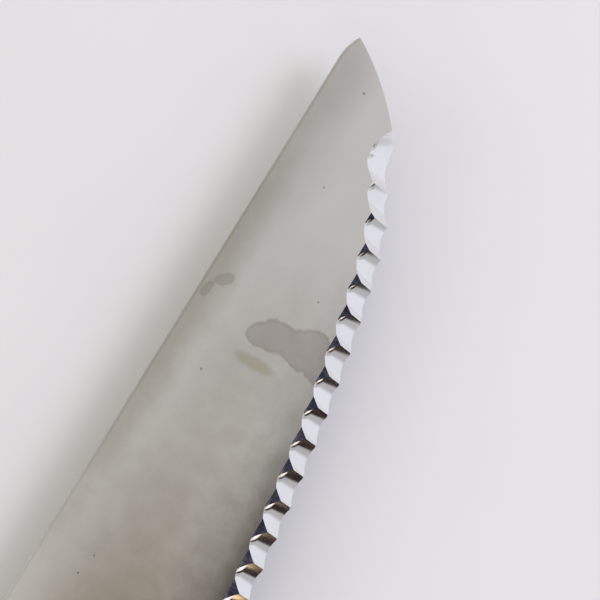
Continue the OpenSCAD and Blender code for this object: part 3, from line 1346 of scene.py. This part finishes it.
@dataclass
class Fasteners:
    """Bolster pins and two-part rivets, each kind a row of turned copies."""

    row: CopyRow
    finish: bpy.types.Material
    sides: int = 96
    crisp_angle: float = 30.0

    def turned(self, name: str, profile: list[Point2]) -> bpy.types.Object:
        """Turns a profile about Z into a closed piece.

        Args:
            name: Name of the piece.
            profile: Radius and height of each corner, from the bottom middle to the top middle.

        Returns:
            The turned piece.
        """
        verts: list[Point3] = []
        faces: list[list[int]] = []
        rows: list[list[int]] = []
        for radius, z in profile:
            if radius == 0:
                verts.append((0.0, 0.0, z))
                rows.append([len(verts) - 1] * self.sides)
                continue
            start = len(verts)
            for i in range(self.sides):
                angle = 2 * math.pi * i / self.sides
                verts.append((radius * math.cos(angle), radius * math.sin(angle), z))
            rows.append(list(range(start, start + self.sides)))
        for low, high in zip(rows, rows[1:]):
            for i in range(self.sides):
                k = (i + 1) % self.sides
                corners = [low[i], low[k], high[k], high[i]]
                faces.append(list(dict.fromkeys(corners)))
        return new_object(name, mesh_of(name, verts, faces))

    def place(self, name: str, profile: list[Point2], spots: list[Point2], slot: Slot, *nodes: str) -> None:
        """Sets a turned copy at every spot, all as one piece.

        Args:
            name: Name of the piece.
            profile: Radius and height of each corner of a copy.
            spots: Places of the copies.
            slot: Material slot of the record.
            nodes: Solids that the piece stands for.
        """
        model = self.turned("model", profile)
        piece = self.row.lay(name, model, self.finish, [(x * MM, y * MM, 0.0) for x, y in spots])
        crisp(piece, self.crisp_angle)
        finish_piece(piece, slot, *nodes)


# Studio


@dataclass(frozen=True)
class Camera:
    """Camera of the photograph, close over the front of the blade."""

    focal_px: float = 1300.0
    frame_px: float = 600.0
    sensor: float = 36.0
    clip_start: float = 5.0
    place: Point3 = (83.85, 0.11, 117.47)
    right: Point3 = (0.5189, -0.8546, 0.0184)
    down: Point3 = (-0.851, -0.5185, -0.0829)

    def build(self) -> None:
        """Makes the camera and makes it the scene's."""
        data = bpy.data.cameras.new("camera")
        data.sensor_width = self.sensor
        data.sensor_fit = "HORIZONTAL"
        data.lens = self.sensor * self.focal_px / self.frame_px
        data.clip_start = self.clip_start * MM
        right = Vector(self.right).normalized()
        back = right.cross(-Vector(self.down)).normalized()
        up = back.cross(right)
        camera = bpy.data.objects.new("camera", data)
        turn = Matrix((right, up, back)).transposed().to_4x4()
        camera.matrix_world = Matrix.Translation(Vector(self.place) * MM) @ turn
        bpy.context.scene.collection.objects.link(camera)
        bpy.context.scene.camera = camera


@dataclass(frozen=True)
class Flag:
    """A dark patch of the studio, by direction in degrees."""

    turn: float
    half_width: float
    low: float
    high: float
    colour: Point3
    soft: float = 4.0


@dataclass(frozen=True)
class Step:
    """A change of colour across the low side wall of the studio."""

    start: float
    end: float
    colour: Point3


@dataclass(frozen=True)
class Surround:
    """Plain pale studio round the knife, with the patches that polished steel shows.

    The roof goes from bright to dim towards the handle. The side wall, which only the
    steep sides of the flutes show, changes colour in slanted steps.
    """

    wall: Point3 = (0.86, 0.865, 0.92)
    wall_top: float = 34.0
    wall_soft: float = 5.0
    wall_slant: float = 1.2
    roof_bright: Point3 = (0.84, 0.84, 0.85)
    roof_dim: Point3 = (0.74, 0.69, 0.57)
    roof_edge: Span = (-0.42, 0.12)
    roof_lean: float = 0.35
    steps: tuple[Step, ...] = (
        Step(8.0, 19.0, (0.52, 0.51, 0.52)),
        Step(27.0, 30.0, (0.03, 0.02, 0.018)),
        Step(38.2, 38.8, (1.3, 0.85, 0.42)),
        Step(39.6, 40.4, (1.2, 1.18, 1.2)),
    )
    flag: Flag = Flag(0.0, 40.0, 40.0, 60.0, (0.012, 0.014, 0.04))
    rear: Point3 = (0.67, 0.66, 0.6)
    rear_edge: Span = (0.25, 0.6)
    backdrop: Point3 = (0.80, 0.795, 0.805)
    strength: float = 1.0

    def build(self) -> None:
        """Makes the world."""
        world = bpy.data.worlds.new("studio")
        world.use_nodes = True
        bpy.context.scene.world = world
        graph = Graph(world.node_tree)
        where = graph.add("ShaderNodeTexCoord").outputs["Generated"]
        x, y, z = graph.add("ShaderNodeSeparateXYZ", {0: where}).outputs
        turn = graph.math("DEGREES", graph.math("ARCTAN2", x, graph.math("MULTIPLY", y, -1.0)))
        rise = graph.math("DEGREES", graph.math("ARCSINE", z))
        across = graph.math("ADD", x, graph.math("MULTIPLY", y, self.roof_lean))
        roof = graph.blend(graph.ramp(across, *self.roof_edge), paint(self.roof_dim), paint(self.roof_bright))
        slanted = graph.math("SUBTRACT", graph.math("MULTIPLY", rise, self.wall_slant), turn)
        wall = paint(self.wall)
        for step in self.steps:
            wall = graph.blend(graph.ramp(slanted, step.start, step.end), wall, paint(step.colour))
        above = graph.ramp(rise, self.wall_top - self.wall_soft, self.wall_top + self.wall_soft)
        tint = graph.blend(above, wall, roof)
        tint = graph.blend(self._patch(graph, turn, rise), tint, paint(self.flag.colour))
        tint = graph.blend(graph.ramp(y, *self.rear_edge), tint, paint(self.rear))
        seen = graph.add("ShaderNodeLightPath").outputs["Is Camera Ray"]
        tint = graph.blend(seen, tint, paint(self.backdrop))
        shader = world.node_tree.nodes["Background"]
        graph.tree.links.new(tint, shader.inputs["Color"])
        shader.inputs["Strength"].default_value = self.strength

    def _patch(self, graph: Graph, turn: Socket, rise: Socket) -> Socket:
        """Makes the dark patch's mask.

        Args:
            graph: Graph that the nodes go into.
            turn: Direction round the knife, in degrees.
            rise: Direction above the floor, in degrees.

        Returns:
            The mask's socket.
        """
        flag = self.flag
        away = graph.math("ABSOLUTE", graph.math("SUBTRACT", turn, flag.turn))
        mask = graph.ramp(away, flag.half_width + flag.soft, flag.half_width - flag.soft)
        for start, end in (
            (flag.low - flag.soft, flag.low + flag.soft),
            (flag.high + flag.soft, flag.high - flag.soft),
        ):
            mask = graph.math("MULTIPLY", mask, graph.ramp(rise, start, end))
        return mask


@dataclass(frozen=True)
class Lamp:
    """A soft square lamp that looks at the blade."""

    name: str
    place: Point3
    size: float
    power: float
    colour: Point3
    target: Point3 = (85.0, 0.0, 0.0)

    def build(self) -> None:
        """Makes the lamp."""
        data = bpy.data.lights.new(self.name, "AREA")
        data.shape = "SQUARE"
        data.size = self.size * MM
        data.energy = self.power
        data.color = self.colour
        lamp = bpy.data.objects.new(self.name, data)
        lamp.visible_glossy = False
        aim = (Vector(self.target) - Vector(self.place)).to_track_quat("-Z", "Y")
        lamp.matrix_world = Matrix.Translation(Vector(self.place) * MM) @ aim.to_matrix().to_4x4()
        bpy.context.scene.collection.objects.link(lamp)


@dataclass(frozen=True)
class Floor:
    """Plain pale floor, a little mottled."""

    half: float = 1500.0
    low: float = -0.02
    colour: Point3 = (0.75, 0.732, 0.754)
    mottle_scale: float = 60.0
    mottle_span: Span = (0.3, 0.7)
    mottle_share: float = 0.985
    roughness: float = 0.7
    gloss: float = 0.2

    def build(self) -> None:
        """Makes the floor."""
        face = Surface("pale_floor")
        mottle = face.graph.noise(face.where, self.mottle_scale)
        tint = face.graph.blend(
            face.graph.ramp(mottle, *self.mottle_span),
            paint(self.colour),
            paint(self.colour, self.mottle_share),
        )
        face.feed("Base Color", tint)
        face.level("Roughness", self.roughness)
        face.level("Specular IOR Level", self.gloss)
        corners = [
            (x * self.half, y * self.half, self.low) for x, y in ((-1, -1), (1, -1), (1, 1), (-1, 1))
        ]
        mesh = mesh_of("floor", corners, [[0, 1, 2, 3]])
        mesh.materials.append(face.material)
        new_object("floor", mesh)


def build_studio() -> None:
    """Makes the camera, the surround, the floor and the lamps."""
    bpy.context.scene.view_settings.view_transform = "Standard"
    Camera().build()
    Surround().build()
    Floor().build()
    Lamp(
        "key_lamp",
        place=(260.0, -240.0, 420.0),
        size=220.0,
        power=0.95,
        colour=(0.9, 0.965, 1.12),
    ).build()
    Lamp(
        "warm_lamp",
        place=(-60.0, 420.0, 300.0),
        size=240.0,
        power=0.3,
        colour=(1.1, 1.05, 0.7),
    ).build()


# Main


def main() -> None:
    """Builds the studio and every piece of the knife."""
    logging.basicConfig(level=logging.INFO, format="%(name)s: %(message)s")
    build_studio()

    blade_low, blade_high = node_box("blade")
    bolster_low, bolster_high = node_box("bolster_upper")
    scale_low, scale_high = node_box("scale_upper")
    spine_y = blade_high.y
    edge = EdgeLine(blade_high.x - EdgeLine(0.0, spine_y).reach, spine_y)
    handle = HandleLine(bolster_high.x, bolster_high.x - blade_low.x, spine_y)

    Blade(
        edge=edge,
        handle=handle,
        low_z=blade_low.z,
        top_z=blade_high.z,
        satin=SatinSteel(stains_and_shade=STAINS_AND_SHADE).build(),
        flute_finish=PolishedSteel("ground_flute", roughness=0.07).build(),
        land_finish=PolishedSteel("ground_land", roughness=0.14).build(),
    ).build()

    form = HandleForm(handle, scale_high.z - scale_low.z, blade_low.z, blade_high.z)
    bolster_finish = PolishedSteel(
        "buffed_bolster",
        colour=(0.64, 0.635, 0.63),
        roughness=0.2,
        lines=(300.0, 6000.0, 6000.0),
        line_depth=0.000006,
    ).build()
    BolsterPair(form, bolster_low.x, bolster_finish).build()
    woods = (
        OiledWood("oiled_wood_upper").build(),
        OiledWood("oiled_wood_lower", shift=(0.4, 0.28, 0.4)).build(),
    )
    ScalePair(form, scale_high.x, woods).build()

    rivet_finish = PolishedSteel(
        "buffed_rivet",
        colour=(0.68, 0.67, 0.66),
        roughness=0.22,
        lines=(400.0, 5000.0, 400.0),
        line_depth=0.000006,
    ).build()
    fasteners = Fasteners(CopyRow("fastener_row"), rivet_finish)
    pin, rivet = Pin(scale_high.z), Rivet(scale_high.z)
    fasteners.place(
        "bolster_pins",
        pin.profile(),
        handle.pin_spots(),
        Slot.BOLSTER,
        "bolster_pin_front",
        "bolster_pin_rear",
    )
    fasteners.place(
        "rivet_females",
        rivet.female(),
        handle.rivet_spots(),
        Slot.RIVET,
        "rivet_front_female",
        "rivet_middle_female",
        "rivet_rear_female",
    )
    fasteners.place(
        "rivet_males",
        rivet.male(),
        handle.rivet_spots(),
        Slot.RIVET,
        "rivet_front_male",
        "rivet_middle_male",
        "rivet_rear_male",
    )


if __name__ == "__main__":
    main()
